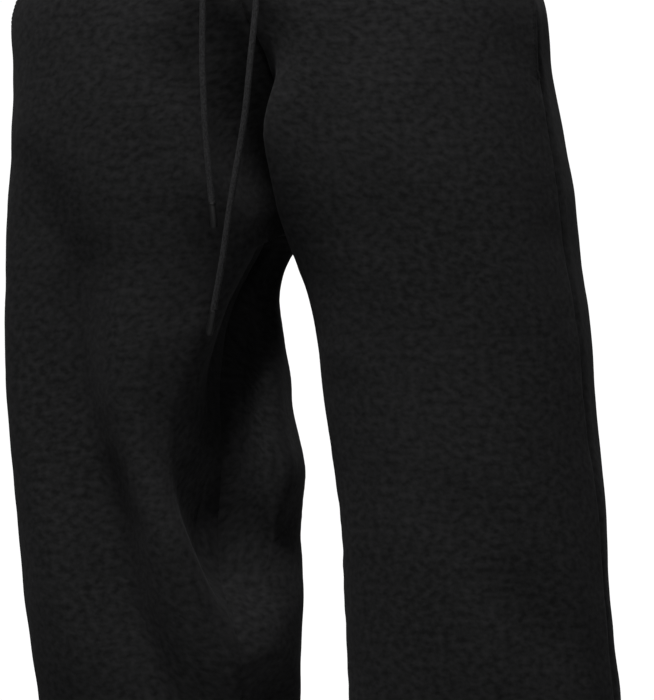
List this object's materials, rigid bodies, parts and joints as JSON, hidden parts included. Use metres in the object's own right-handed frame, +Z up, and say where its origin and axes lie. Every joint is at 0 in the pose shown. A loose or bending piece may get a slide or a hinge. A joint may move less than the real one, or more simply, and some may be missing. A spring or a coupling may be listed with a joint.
{
  "type": "jogger sweatpants",
  "caption": "Baggy fleece jogger sweatpants in hollow worn form, with gathered waistband, drawcord, in-seam pockets and rib cuffs.",
  "frame": {"origin": "centre of the waistband's opening, at its top edge", "axes": "+X to the wearer's left, -Y to the front, +Z up along the body"},
  "size_m": [0.5521, 0.3073, 1.0575],
  "materials": {
    "fleece": "black brushed-back fleece, matte with a faint heather",
    "rib": "black rib knit, matte",
    "cord": "black round braid",
    "aglet": "satin black"
  },
  "bodies": {
    "root": {"front_left": "fleece", "front_right": "fleece", "back_left": "fleece", "back_right": "fleece", "waistband": "fleece", "pocket_left": "fleece", "pocket_right": "fleece", "cuff_left": "rib", "cuff_right": "rib", "drawcord_left": "cord", "drawcord_right": "cord", "aglet_left": "aglet", "aglet_right": "aglet", "eyelet_left": "aglet", "eyelet_right": "aglet"}
  },
  "joints": []
}
